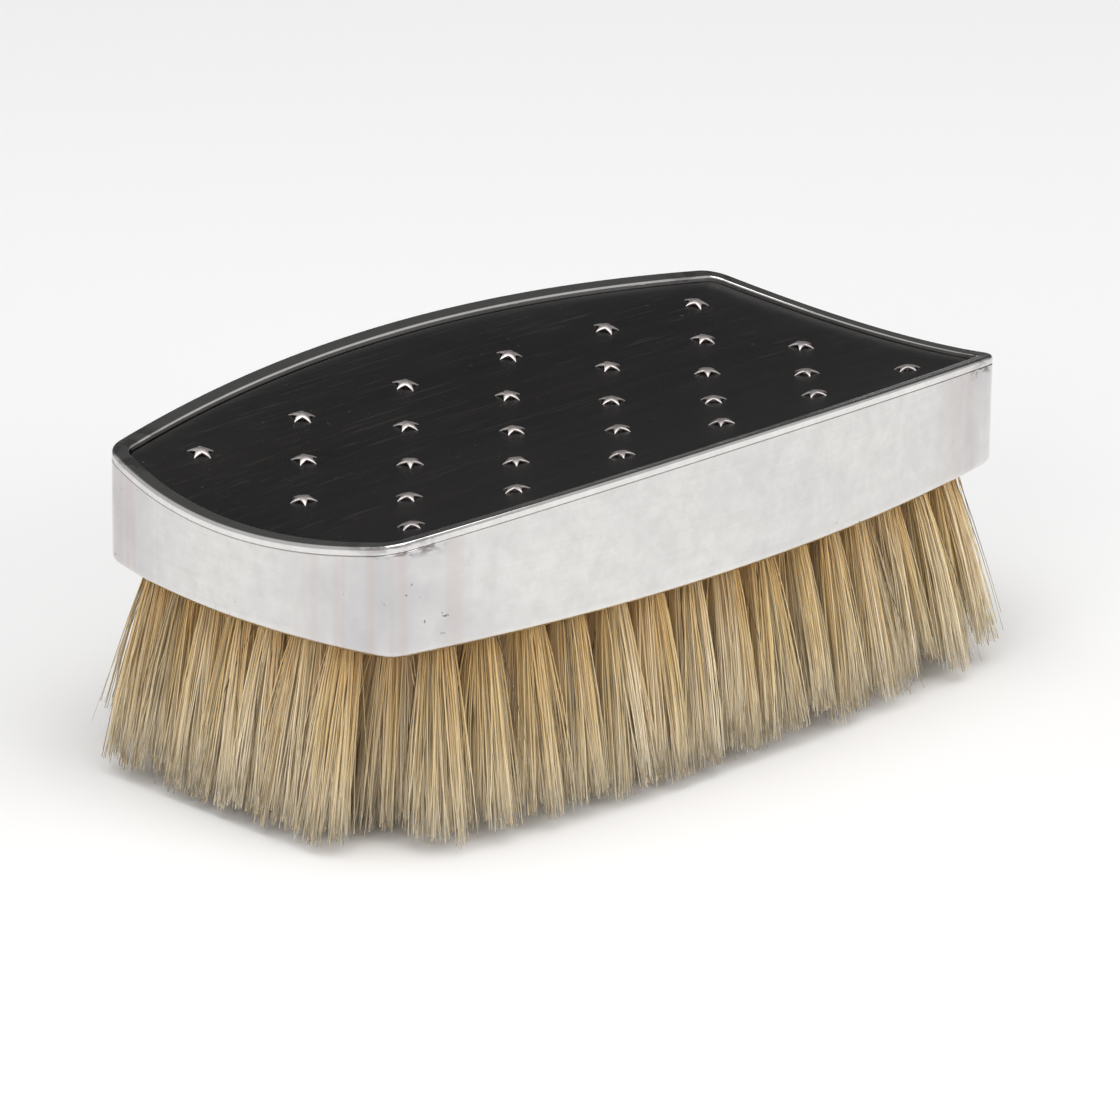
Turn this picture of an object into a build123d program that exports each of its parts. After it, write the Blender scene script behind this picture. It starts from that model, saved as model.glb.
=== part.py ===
from build123d import *
from math import asin, atan2, cos, degrees, sin, sqrt
import os

# A hair brush without a handle: bristle tufts drawn through a wooden board with brass wire, a core block
# and an ebony back panel, all held in a silver mount, with rows of small silver stars set in the panel.
# Millimetres. X runs along the brush, Y across it and Z up. The bristle tips stand on Z = 0.

# Plan of the silver mount: four arcs that bow outwards, with rounded corners.
overall_length = 120.0
overall_width = 65.4
side_arc_radius = 240.0
end_arc_radius = 86.0
corner_radius = 4.5
smallest_corner = 0.3

# The back is a saddle: arched along the brush, dished across it.
crown_radius = 1300.0
dish_radius = 123.0

# Heights.
bristle_length = 26.0
mount_height = 13.5

# Silver wall with its turned-under lip, and the rim moulding soldered on its top edge.
wall = 0.8
lip_width = 1.6
lip_thickness = 0.8
lip_edge_radius = 1.0
rim_width = 2.2
rim_height = 1.2
rim_edge_radius = 0.55

# Back panel: its edge is rebated to pass under the rim.
panel_thickness = 3.0
panel_sink = 0.7
panel_gap = 0.15
wood_gap = 0.1

# Stars: lines along the brush, with every second line shifted by half a pitch.
star_lines = 5
star_columns = 11
star_end_margin = 14.0
star_side_margin = 13.3
star_radius = 1.9
star_waist_radius = 0.85
star_edge = 0.2
star_rise = 0.55
star_crown_share = 0.12
star_shank_radius = 0.5
star_shank_length = 1.6
star_shank_gap = 0.05
star_scatter = 0.3
star_points = 5

# Bristle board and its drilling.
board_thickness = 5.0
tuft_rows = 9
tuft_columns = 17
corner_tufts_left_out = 1
tuft_root_radius = 1.85
tuft_gap = 0.05
tuft_hole_depth = 3.5
tuft_edge_margin = 0.9
tuft_tip_gap = 0.15
tip_spread = 1.033

# Drawing wire: it lies in a groove in the back of the board and dips through each tuft's fold.
wire_radius = 0.2
wire_gap = 0.05
wire_dip_half = 0.45
wire_hole_radius = 0.9

# Brass pins that hold the board to the core block.
pin_radius = 0.7
pin_head_radius = 1.2
pin_head_height = 0.5
pin_gap = 0.02
pin_depth_in_core = 2.0
pin_columns = (1.5, 5.5, 10.5, 14.5)
pin_rows = (1.5, 6.5)

# Levels that follow from the heights.
mount_bottom = bristle_length
board_bottom = mount_bottom + lip_thickness
board_top = board_bottom + board_thickness
tuft_top = board_bottom + tuft_hole_depth
rim_top = mount_bottom + mount_height
panel_bottom_depth = panel_sink + panel_thickness
wire_groove_depth = 2 * wire_radius + 2 * wire_gap
wire_level = board_top - wire_groove_depth / 2
wire_dip_level = tuft_top - wire_gap - wire_radius

# The saddle is part of a ring: an arc of the dish radius, turned about a line far below the brush.
turn_axis_z = rim_top - crown_radius
arc_centre_height = crown_radius + dish_radius
arc_centre_z = turn_axis_z + arc_centre_height

# How far each inner piece's outline lies inside the silver's outer face.
wood_inset = wall + wood_gap
field_inset = rim_width + panel_gap
tuft_inset = lip_width + tuft_edge_margin + tuft_gap + tuft_root_radius

# The outermost star centres keep a margin to the ends and the sides of the mount.
star_column_pitch = (overall_length - 2 * star_end_margin) / (star_columns - 1)
star_line_pitch = (overall_width - 2 * star_side_margin) / (star_lines - 1)


def outline(inset):
    """The plan of the mount, moved inwards: where two long-side discs and two end discs overlap."""
    side_centre = side_arc_radius - overall_width / 2
    end_centre = end_arc_radius - overall_length / 2
    side_disc = Circle(side_arc_radius - inset)
    end_disc = Circle(end_arc_radius - inset)
    plan = (Pos(0, side_centre) * side_disc) & (Pos(0, -side_centre) * side_disc)
    plan &= Pos(end_centre, 0) * end_disc
    plan &= Pos(-end_centre, 0) * end_disc
    return fillet(plan.vertices(), max(corner_radius - inset, smallest_corner))


def prism(inset, low, high):
    """A straight-sided block on the plan, between two levels."""
    return Pos(0, 0, low) * extrude(outline(inset), amount=high - low)


def saddle_layer(upper, lower):
    """The layer of the back between two depths below the rim's top, wider and longer than the brush."""
    half_width = overall_width
    arcs = []
    for depth in (upper, lower):
        radius = dish_radius + depth
        edge_z = arc_centre_z - sqrt(radius**2 - half_width**2)
        low_z = arc_centre_z - radius
        arc = ThreePointArc((0, -half_width, edge_z), (0, 0, low_z), (0, half_width, edge_z))
        arcs.append(arc)
    side_lines = [Line(arcs[0] @ end, arcs[1] @ end) for end in (0, 1)]
    profile = make_face([arcs[0].edge(), arcs[1].edge(), side_lines[0].edge(), side_lines[1].edge()])
    half_turn = degrees(asin(overall_length / crown_radius))
    turn_axis = Axis((0, 0, turn_axis_z), (0, 1, 0))
    start = profile.rotate(turn_axis, -half_turn)
    return revolve(start, axis=turn_axis, revolution_arc=2 * half_turn)


def above_saddle(depth):
    """Everything over the back at one depth below the rim's top."""
    return saddle_layer(depth - overall_width / 2, depth)


def back_plane(x, y, depth):
    """The plane that touches the back over one place of the plan."""
    radius = dish_radius + depth
    reach = arc_centre_height - sqrt(radius**2 - y**2)
    z = turn_axis_z + sqrt(reach**2 - x**2)
    turn = atan2(x, z - turn_axis_z)
    arc_centre = Vector(arc_centre_height * sin(turn), 0, turn_axis_z + arc_centre_height * cos(turn))
    touch = Vector(x, y, z)
    return Plane(origin=touch, x_dir=(cos(turn), 0, -sin(turn)), z_dir=arc_centre - touch)


def side_band():
    """Silver wall, open at the top, with its lower edge turned under the bristle board."""
    band = prism(0, mount_bottom, rim_top + overall_width / 4) - above_saddle(rim_height)
    band = fillet(band.faces().sort_by(Axis.Z)[0].edges(), lip_edge_radius)
    band -= prism(wall, board_bottom, rim_top + overall_width / 2)
    band -= prism(lip_width, mount_bottom - wall, rim_top)
    return band


def rim_moulding():
    """Silver bezel that follows the saddle and overlaps the edge of the back panel."""
    ring = prism(0, mount_bottom, rim_top + overall_width / 4) & saddle_layer(0, rim_height)
    ring = fillet(ring.faces().sort_by(Axis.Z)[-1].edges(), rim_edge_radius)
    return ring - prism(rim_width, mount_bottom, rim_top + overall_width / 2)


def star_places(line):
    """Where the stars of one line stand, each with its own small turn, as set by hand."""
    y = (line - (star_lines - 1) / 2) * star_line_pitch
    for column in range(line % 2, star_columns, 2):
        x = (column - (star_columns - 1) / 2) * star_column_pitch
        drift = 2.4 * column + 1.7 * line
        turn = 31 * column + 17 * line
        yield x + star_scatter * sin(drift), y + star_scatter * cos(1.6 * drift), turn


def back_panel():
    """Ebony panel with a sunk field inside the rim, a rebate under it and a blind hole for each star."""
    below_rim = prism(wood_inset, board_top, rim_top + overall_width / 4)
    panel = below_rim & saddle_layer(rim_height, panel_bottom_depth)
    field = prism(field_inset, board_top, rim_top + overall_width / 4) & saddle_layer(panel_sink, rim_height)
    panel += field
    hole_radius = star_shank_radius + star_shank_gap
    holes = []
    for line in range(star_lines):
        for x, y, turn in star_places(line):
            hole = Cylinder(hole_radius, 2 * star_shank_length)
            holes.append(back_plane(x, y, panel_sink).location * hole)
    return panel - holes


def star_outline(scale):
    """A star polygon with its first arm along X."""
    corners = []
    for step in range(2 * star_points):
        radius = star_waist_radius if step % 2 else star_radius
        corners.append(Vector(scale * radius, 0).rotate(Axis.Z, 180 / star_points * step))
    return make_face(Polyline(*corners, close=True).edges())


def star(x, y, turn):
    """One star: ridged arms, an underside that follows the panel, and a shank in the panel's hole."""
    plate = Pos(0, 0, -star_edge) * extrude(star_outline(1), amount=2 * star_edge)
    crown_sections = [
        Pos(0, 0, star_edge) * star_outline(1),
        Pos(0, 0, star_rise) * star_outline(star_crown_share),
    ]
    crown = loft(crown_sections, ruled=True)
    seat = back_plane(x, y, panel_sink).location
    body = seat * (Rot(0, 0, turn) * (plate + crown)) - saddle_layer(panel_sink, panel_bottom_depth)
    shank = extrude(Pos(0, 0, -star_shank_length) * Circle(star_shank_radius), amount=star_shank_length + star_edge)
    return (body + seat * shank).solid()


def tuft_place(column, row):
    """Root centre of a tuft: a grid stretched to fill the bowed plan, inside a constant margin."""
    along = 2 * column / (tuft_columns - 1) - 1
    across = 2 * row / (tuft_rows - 1) - 1

    def side_y(x):
        return sqrt((side_arc_radius - tuft_inset) ** 2 - x**2) - side_arc_radius + overall_width / 2

    def end_x(y):
        return sqrt((end_arc_radius - tuft_inset) ** 2 - y**2) - end_arc_radius + overall_length / 2

    x = along * end_x(across * side_y(end_x(0)))
    return Vector(x, across * side_y(x))


def row_columns(row):
    """The columns that have a tuft: the outermost rows leave out their corners."""
    left_out = corner_tufts_left_out if row in (0, tuft_rows - 1) else 0
    return range(left_out, tuft_columns - left_out)


def row_places(row):
    """Root centres along one row."""
    return [tuft_place(column, row) for column in row_columns(row)]


def all_places():
    """Root centres of every tuft."""
    return [place for row in range(tuft_rows) for place in row_places(row)]


def closest_spacing():
    """The smallest distance between two neighbouring root centres."""
    spacings = []
    for row in range(tuft_rows):
        for column in range(tuft_columns):
            here = tuft_place(column, row)
            if column:
                spacings.append((here - tuft_place(column - 1, row)).length)
            if row:
                spacings.append((here - tuft_place(column, row - 1)).length)
    return min(spacings)


def row_direction(row, column):
    """Unit vector along a row at one tuft."""
    columns = row_columns(row)
    before = tuft_place(max(column - 1, columns[0]), row)
    after = tuft_place(min(column + 1, columns[-1]), row)
    return (after - before).normalized()


def tuft(row, column):
    """One tuft: a round folded root in its hole, flaring to a flat tip on the floor."""
    root = tuft_place(column, row)
    tip = root * tip_spread
    tip_radius = closest_spacing_at_root * tip_spread / 2 - tuft_tip_gap
    sections = [
        Pos(root.X, root.Y, board_bottom) * Circle(tuft_root_radius),
        Pos(tip.X, tip.Y, 0) * Circle(tip_radius),
    ]
    flare = loft(sections, ruled=True)
    folded_root = extrude(sections[0], amount=tuft_hole_depth)
    slot_size = 2 * (wire_radius + wire_gap)
    slot = Box(4 * tuft_root_radius, slot_size, 2 * slot_size)
    turn = degrees(atan2(row_direction(row, column).Y, row_direction(row, column).X))
    slot = Pos(root.X, root.Y, tuft_top) * Rot(0, 0, turn) * slot
    return (flare + folded_root - slot).solid()


def draw_wire(row):
    """Brass wire of one row: it runs in the groove and dips into each tuft's fold."""
    points = []
    for column, place in zip(row_columns(row), row_places(row)):
        step = row_direction(row, column) * wire_dip_half
        before = place - step
        after = place + step
        points.append(Vector(before.X, before.Y, wire_level))
        points.append(Vector(before.X, before.Y, wire_dip_level))
        points.append(Vector(after.X, after.Y, wire_dip_level))
        points.append(Vector(after.X, after.Y, wire_level))
    path = Polyline(*points)
    start = Plane(origin=points[0], z_dir=points[1] - points[0])
    return sweep(start * Circle(wire_radius), path=path, transition=Transition.RIGHT)


def pin_places():
    """Centres of the board pins, each in the middle of four tufts."""
    return [tuft_place(column, row) for column in pin_columns for row in pin_rows]


def cylinders(places, radius, low, high):
    """Upright cylinders on a list of places."""
    return [Pos(p.X, p.Y, (low + high) / 2) * Cylinder(radius, high - low) for p in places]


def bristle_board():
    """Wooden board: wide blind holes for the tufts, narrow holes for the wire, grooves in its back."""
    board = prism(wood_inset, board_bottom, board_top)
    places = all_places()
    board -= cylinders(places, tuft_root_radius + tuft_gap, board_bottom - wall, tuft_top)
    board -= cylinders(places, wire_hole_radius, board_bottom, board_top + wall)
    for row in range(tuft_rows):
        groove = trace(Polyline(*row_places(row)), line_width=2 * (wire_radius + wire_gap))
        board -= Pos(0, 0, board_top - wire_groove_depth) * extrude(groove, amount=2 * wire_groove_depth)
    board -= cylinders(pin_places(), pin_radius + pin_gap, board_bottom - wall, board_top + wall)
    head_top = board_bottom + pin_head_height
    board -= cylinders(pin_places(), pin_head_radius + pin_gap, board_bottom - wall, head_top)
    return board


def core_block():
    """Wooden block between the bristle board and the back panel, with holes for the board pins."""
    core = prism(wood_inset, board_top, rim_top + overall_width / 4) - above_saddle(panel_bottom_depth)
    hole_top = board_top + pin_depth_in_core
    return core - cylinders(pin_places(), pin_radius + pin_gap, board_top - wall, hole_top)


def board_pins():
    """Brass pins: a flat head flush with the board's face and a shank that ends in the core block."""
    heads = cylinders(pin_places(), pin_head_radius, board_bottom, board_bottom + pin_head_height)
    shanks = cylinders(pin_places(), pin_radius, board_bottom, board_top + pin_depth_in_core)
    return [(head + shank).solid() for head, shank in zip(heads, shanks)]


closest_spacing_at_root = closest_spacing()

nodes = {
    "side_band": side_band(),
    "rim_moulding": rim_moulding(),
    "back_panel": back_panel(),
    "core_block": core_block(),
    "bristle_board": bristle_board(),
    "board_pins": board_pins(),
}
for line in range(star_lines):
    nodes[f"star_row_{line + 1}"] = [star(x, y, turn) for x, y, turn in star_places(line)]
for row in range(tuft_rows):
    nodes[f"tuft_row_{row + 1}"] = [tuft(row, column) for column in row_columns(row)]
    nodes[f"draw_wire_{row + 1}"] = draw_wire(row)

os.makedirs("parts", exist_ok=True)
for name, shape in nodes.items():
    whole = Compound(shape) if isinstance(shape, list) else shape
    export_step(whole, f"parts/{name}.step")
    print(name, len(whole.solids()), "solids", round(whole.volume, 2), "mm3")
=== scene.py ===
from math import atan2, cos, pi, radians, sin, sqrt

import bmesh
import bpy
import numpy as np
from mathutils import Matrix, Vector


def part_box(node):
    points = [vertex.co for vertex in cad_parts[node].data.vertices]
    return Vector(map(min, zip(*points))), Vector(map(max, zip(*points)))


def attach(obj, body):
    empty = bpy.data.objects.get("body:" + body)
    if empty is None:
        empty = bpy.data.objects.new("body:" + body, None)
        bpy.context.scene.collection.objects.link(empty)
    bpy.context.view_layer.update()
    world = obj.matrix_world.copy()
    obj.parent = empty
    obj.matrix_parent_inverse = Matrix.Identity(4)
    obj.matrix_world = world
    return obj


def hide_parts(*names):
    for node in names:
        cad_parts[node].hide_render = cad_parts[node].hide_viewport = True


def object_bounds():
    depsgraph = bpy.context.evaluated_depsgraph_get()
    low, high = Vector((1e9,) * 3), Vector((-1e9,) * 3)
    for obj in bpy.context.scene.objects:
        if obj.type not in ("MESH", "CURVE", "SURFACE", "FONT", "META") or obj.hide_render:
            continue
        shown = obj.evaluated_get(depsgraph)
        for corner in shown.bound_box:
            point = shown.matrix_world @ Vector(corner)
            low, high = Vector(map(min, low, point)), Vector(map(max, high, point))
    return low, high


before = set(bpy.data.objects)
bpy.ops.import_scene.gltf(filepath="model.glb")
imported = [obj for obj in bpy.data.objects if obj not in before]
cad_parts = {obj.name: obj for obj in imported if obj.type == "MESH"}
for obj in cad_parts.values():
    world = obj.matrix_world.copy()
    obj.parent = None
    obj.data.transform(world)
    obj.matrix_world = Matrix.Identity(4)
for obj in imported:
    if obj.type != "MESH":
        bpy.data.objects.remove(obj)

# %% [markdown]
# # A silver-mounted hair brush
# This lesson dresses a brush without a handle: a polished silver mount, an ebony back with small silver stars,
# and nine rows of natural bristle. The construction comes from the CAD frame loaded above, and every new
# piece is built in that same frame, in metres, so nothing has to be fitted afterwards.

MM = 0.001
cad_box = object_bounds()
band_low, band_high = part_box("side_band")
HALF_LENGTH = (band_high.x - band_low.x) / 2
HALF_WIDTH = (band_high.y - band_low.y) / 2
MOUNT_BOTTOM = band_low.z
LIP_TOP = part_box("bristle_board")[0].z
mount_size = (round(2 * HALF_LENGTH, 4), round(2 * HALF_WIDTH, 4))
print("mount", mount_size, "m, from", round(MOUNT_BOTTOM, 4), "up")

# %% [markdown]
# ## The plan of the mount
# Seen from above, a silversmith's brush is four shallow arcs joined by tight round corners. A bevelled
# rectangle would look stiff, and a subdivided box would round the wrong places. Each point of the plan is
# found instead from the direction in which the wall faces there, because on an arc that direction gives the
# place exactly. Moving the wall inwards is then the same arcs with smaller radii.

# %% Arcs of the plan
SIDE_ARC = 240 * MM
END_ARC = 86 * MM
CORNER = 4.5 * MM
SIDE_STEPS = 26
END_STEPS = 16
CORNER_STEPS = 12

side_centre = Vector((0, HALF_WIDTH - SIDE_ARC))
end_centre = Vector((HALF_LENGTH - END_ARC, 0))


def corner_centre():
    """Centre of the corner arc that touches a side arc and an end arc from inside."""
    gap = end_centre - side_centre
    side_reach = SIDE_ARC - CORNER
    end_reach = END_ARC - CORNER
    along = (side_reach**2 - end_reach**2 + gap.length**2) / (2 * gap.length)
    across = sqrt(side_reach**2 - along**2)
    direction = gap.normalized()
    return side_centre + direction * along + Vector((direction.y, -direction.x)) * across


corner = corner_centre()
end_turn = atan2(corner.y - end_centre.y, corner.x - end_centre.x)
side_turn = atan2(corner.y - side_centre.y, corner.x - side_centre.x)
quarter = [(end_centre, END_ARC, end_turn * i / END_STEPS) for i in range(END_STEPS)]
for i in range(CORNER_STEPS):
    quarter.append((corner, CORNER, end_turn + (side_turn - end_turn) * i / CORNER_STEPS))
for i in range(SIDE_STEPS):
    quarter.append((side_centre, SIDE_ARC, side_turn + (pi / 2 - side_turn) * i / SIDE_STEPS))


def plan_station(step):
    """Arc centre, radius and facing of one station, counted round the whole plan from the end on +X."""
    turn, place = divmod(step, len(quarter))
    if turn % 2:
        centre, radius, facing = quarter[len(quarter) - place] if place else (side_centre, SIDE_ARC, pi / 2)
        facing = pi - facing
        centre = Vector((-centre.x, centre.y))
    else:
        centre, radius, facing = quarter[place]
    if turn >= 2:
        facing += pi
        centre = -centre
    return centre, radius, facing


STATIONS = [plan_station(step) for step in range(4 * len(quarter))]


def plan_point(station, inset):
    """The plan at one station, moved inwards."""
    centre, radius, facing = STATIONS[station]
    return centre + Vector((cos(facing), sin(facing))) * (radius - inset)


print(len(STATIONS), "stations, corner centre at", tuple(round(v / MM, 2) for v in corner), "mm")

# %% [markdown]
# ## The saddle of the back
# The back is arched along the brush and dished across it, so that it fills the palm. It is a patch of a
# very large ring. One function gives its height, and the rim, the panel and the stars all use it.

# %% Height of the back
CROWN = 1300 * MM
DISH = 123 * MM
MOUNT_HEIGHT = 13.5 * MM
RIM_TOP = MOUNT_BOTTOM + MOUNT_HEIGHT
TURN_AXIS = RIM_TOP - CROWN


def back_height(x, y, depth):
    """Height of the back over one place of the plan, at a depth below the rim's top."""
    reach = CROWN + DISH - sqrt((DISH + depth) ** 2 - y**2)
    return TURN_AXIS + sqrt(reach**2 - x**2)


def back_normal(x, y, depth):
    """The direction in which the back faces there."""
    step = MM / 10
    slope_x = (back_height(x + step, y, depth) - back_height(x - step, y, depth)) / (2 * step)
    slope_y = (back_height(x, y + step, depth) - back_height(x, y - step, depth)) / (2 * step)
    return Vector((-slope_x, -slope_y, 1)).normalized()


print("rim top at the middle", round(RIM_TOP, 4), "and at a side", round(back_height(0, HALF_WIDTH, 0), 4))

# %% [markdown]
# ## Drawing a section round the plan
# A silver band is one section carried round the plan. The Screw and Curve tools can't follow a saddle, so
# the section is built as by hand: a circle of edges is laid on the plan, extruded once for each point of the
# section, and bridged back to its start. Each vertex remembers its station in an attribute, which an
# extrusion copies, so that every new loop can be set at its own inset and height.

# %% Helpers for edit mode
def start_clean():
    """Leave edit mode and deselect everything."""
    if bpy.context.mode != "OBJECT":
        bpy.ops.object.mode_set(mode="OBJECT")
    bpy.ops.object.select_all(action="DESELECT")


def up(height):
    """A level measured up from the mount's flat lower edge."""
    return lambda x, y: MOUNT_BOTTOM + height


def deep(depth):
    """A level measured down from the saddle of the back."""
    return lambda x, y: back_height(x, y, depth)


def set_loop(mesh, keys, inset, level, share=1.0):
    """Put the selected loop on the plan, at an inset, a level and a share of the way out from the middle."""
    for vertex in mesh.verts:
        if vertex.select:
            place = plan_point(vertex[keys], inset) * share
            vertex.co = (place.x, place.y, level(place.x, place.y))


def ring_piece(name, section, closed=True):
    """A piece that carries a section round the plan. The section is a list of (inset, level, share)."""
    start_clean()
    bpy.ops.mesh.primitive_circle_add(vertices=len(STATIONS), radius=HALF_LENGTH, fill_type="NOTHING")
    piece = bpy.context.object
    piece.name = name
    piece.data.name = name
    station = piece.data.attributes.new("station", "INT", "POINT")
    for index in range(len(STATIONS)):
        station.data[index].value = index
    bpy.ops.object.mode_set(mode="EDIT")
    bpy.ops.mesh.select_all(action="SELECT")
    for step, (inset, level, share) in enumerate(section):
        if step:
            bpy.ops.mesh.extrude_edges_move()
        mesh = bmesh.from_edit_mesh(piece.data)
        set_loop(mesh, mesh.verts.layers.int["station"], inset, level, share)
        bmesh.update_edit_mesh(piece.data)
    bpy.ops.mesh.select_all(action="DESELECT")
    bpy.ops.mesh.select_non_manifold(extend=False)
    if closed:
        bpy.ops.mesh.bridge_edge_loops()
    else:
        bpy.ops.mesh.fill_holes(sides=0)
    bpy.ops.mesh.select_all(action="SELECT")
    bpy.ops.mesh.remove_doubles(threshold=MM / 1000)
    bpy.ops.mesh.normals_make_consistent(inside=False)
    bpy.ops.object.mode_set(mode="OBJECT")
    piece.data.attributes.remove(piece.data.attributes["station"])
    bpy.ops.object.shade_smooth_by_angle(angle=radians(40))
    print(name, len(piece.data.polygons), "faces")
    return piece


def rounding(inset, level_of, radius, start, stop, height, steps=7):
    """Section points on a round edge. Its centre is at an inset and a height, between two angles."""
    points = []
    for step in range(steps + 1):
        angle = radians(start + (stop - start) * step / steps)
        points.append((inset - radius * cos(angle), level_of(height - radius * sin(angle)), 1.0))
    return points


def hand_over(piece, material, slot, *nodes):
    """Give a finished piece its material and its body, and hide the CAD nodes that it stands for."""
    piece.data.materials.clear()
    piece.data.materials.append(material)
    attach(piece, "root")
    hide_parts(*nodes)
    return piece


# %% [markdown]
# ## Nodes for the materials
# Old silver, ebony and hair are never one flat colour. Small helpers keep the node trees short: one adds a
# node with its values, and one joins two sockets.

# %% Helpers for node trees
def add_node(tree, kind, values=None, **settings):
    """A node with its settings and with the values of its inputs."""
    node = tree.nodes.new(kind)
    for key, value in settings.items():
        setattr(node, key, value)
    for key, value in (values or {}).items():
        node.inputs[key].default_value = value
    return node


def new_group(name, inputs, outputs):
    """An empty shader group. Inputs and outputs are dictionaries of socket names and kinds or values."""
    tree = bpy.data.node_groups.new(name, "ShaderNodeTree")
    for key, value in inputs.items():
        kind = "NodeSocketVector" if value == "vector" else "NodeSocketFloat"
        if isinstance(value, tuple):
            kind = "NodeSocketColor"
        socket = tree.interface.new_socket(name=key, in_out="INPUT", socket_type=kind)
        if value != "vector":
            socket.default_value = value
    for key, kind in outputs.items():
        tree.interface.new_socket(name=key, in_out="OUTPUT", socket_type=kind)
    return tree, tree.nodes.new("NodeGroupInput"), tree.nodes.new("NodeGroupOutput")


def new_material(name, **sockets):
    """A material with one Principled shader. Uniform values are set on the shader's own sockets."""
    material = bpy.data.materials.new(name)
    material.use_nodes = True
    tree = material.node_tree
    shader = tree.nodes["Principled BSDF"]
    for key, value in sockets.items():
        shader.inputs[key.replace("_", " ")].default_value = value
    place = tree.nodes.new("ShaderNodeTexCoord").outputs["Object"]
    return material, tree, shader, place


def use_group(tree, group, place, **values):
    """Place a shared group in a material with that material's own values."""
    node = tree.nodes.new("ShaderNodeGroup")
    node.node_tree = group
    if place is not None:
        tree.links.new(place, node.inputs["Place"])
    for key, value in values.items():
        node.inputs[key.replace("_", " ")].default_value = value
    return node


def stretched(tree, place, scale):
    """The place, scaled by three factors, for patterns that run one way."""
    mapping = add_node(tree, "ShaderNodeMapping", {"Scale": scale})
    tree.links.new(place, mapping.inputs["Vector"])
    return mapping.outputs["Vector"]


def noise(tree, place, scale, detail=3.0, roughness=0.55):
    """A noise value between 0 and 1."""
    node = add_node(tree, "ShaderNodeTexNoise", {"Scale": scale, "Detail": detail, "Roughness": roughness})
    tree.links.new(place, node.inputs["Vector"])
    return node.outputs["Fac"]


def between(tree, value, low, high, to_low=0.0, to_high=1.0):
    """Stretch the part of a value between low and high to a new range, clamped."""
    node = add_node(tree, "ShaderNodeMapRange", {1: low, 2: high, 3: to_low, 4: to_high})
    tree.links.new(value, node.inputs[0])
    return node.outputs[0]


def maths(tree, operation, first, second=None, clamp=False):
    """One arithmetic step on sockets or plain numbers."""
    node = tree.nodes.new("ShaderNodeMath")
    node.operation = operation
    node.use_clamp = clamp
    for index, value in enumerate((first, second)):
        if value is None:
            continue
        if isinstance(value, (int, float)):
            node.inputs[index].default_value = value
        else:
            tree.links.new(value, node.inputs[index])
    return node.outputs[0]


def blend_colours(tree, mask, first, second):
    """Mix two colours, or sockets of colours, by a mask."""
    node = add_node(tree, "ShaderNodeMix", data_type="RGBA")
    tree.links.new(mask, node.inputs[0])
    for index, value in ((6, first), (7, second)):
        if isinstance(value, tuple):
            node.inputs[index].default_value = value
        else:
            tree.links.new(value, node.inputs[index])
    return node.outputs[2]


# %% [markdown]
# ## A group for handled surfaces
# Every hard surface here has been handled for a century, so silver, ebony and stars all share one effect: fine
# crossing scratches, soft unevenness from polishing, and specks of tarnish or dust. It is built once, with
# named inputs, and each material sets its own amounts.

# %% Handled-surface group
def handled_surface():
    """Scratches, unevenness and specks, as masks and a normal."""
    inputs = {"Place": "vector", "Scratches": 0.3, "Waves": 0.3, "Specks": 0.3, "Clouds": 0.3}
    outputs = {
        "Speck Mask": "NodeSocketFloat",
        "Cloud Mask": "NodeSocketFloat",
        "Scratch Mask": "NodeSocketFloat",
        "Normal": "NodeSocketVector",
    }
    tree, start, end = new_group("handled_surface", inputs, outputs)
    place = start.outputs["Place"]
    long_lines = noise(tree, stretched(tree, place, (60, 1400, 1400)), 1.0, 2.0)
    slant = add_node(tree, "ShaderNodeMapping", {"Scale": (1500, 90, 1200), "Rotation": (0.2, 0.3, 0.6)})
    tree.links.new(place, slant.inputs["Vector"])
    cross_lines = noise(tree, slant.outputs["Vector"], 1.0, 2.0)
    long_lines = between(tree, long_lines, 0.62, 0.72)
    cross_lines = between(tree, cross_lines, 0.66, 0.74)
    lines = maths(tree, "MAXIMUM", long_lines, cross_lines)
    scratch = maths(tree, "MULTIPLY", lines, start.outputs["Scratches"])
    waves = maths(tree, "MULTIPLY", noise(tree, place, 55.0, 2.0), start.outputs["Waves"])
    specks = between(tree, noise(tree, place, 1100.0, 2.0), 0.69, 0.75)
    patches = between(tree, noise(tree, place, 90.0, 3.0), 0.45, 0.65)
    specks = maths(tree, "MULTIPLY", maths(tree, "MULTIPLY", specks, patches), start.outputs["Specks"], True)
    clouds = between(tree, noise(tree, place, 38.0, 4.0, 0.65), 0.4, 0.72)
    clouds = maths(tree, "MULTIPLY", clouds, start.outputs["Clouds"], True)
    wave_bump = add_node(tree, "ShaderNodeBump", {"Strength": 0.35, "Distance": 0.0006})
    tree.links.new(waves, wave_bump.inputs["Height"])
    fine_bump = add_node(tree, "ShaderNodeBump", {"Strength": 0.10, "Distance": 0.00002})
    tree.links.new(maths(tree, "MULTIPLY", scratch, -1.0), fine_bump.inputs["Height"])
    tree.links.new(wave_bump.outputs["Normal"], fine_bump.inputs["Normal"])
    tree.links.new(specks, end.inputs["Speck Mask"])
    tree.links.new(clouds, end.inputs["Cloud Mask"])
    tree.links.new(scratch, end.inputs["Scratch Mask"])
    tree.links.new(fine_bump.outputs["Normal"], end.inputs["Normal"])
    return tree


surface_group = handled_surface()
print("group", surface_group.name, "with", len(surface_group.nodes), "nodes")
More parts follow.
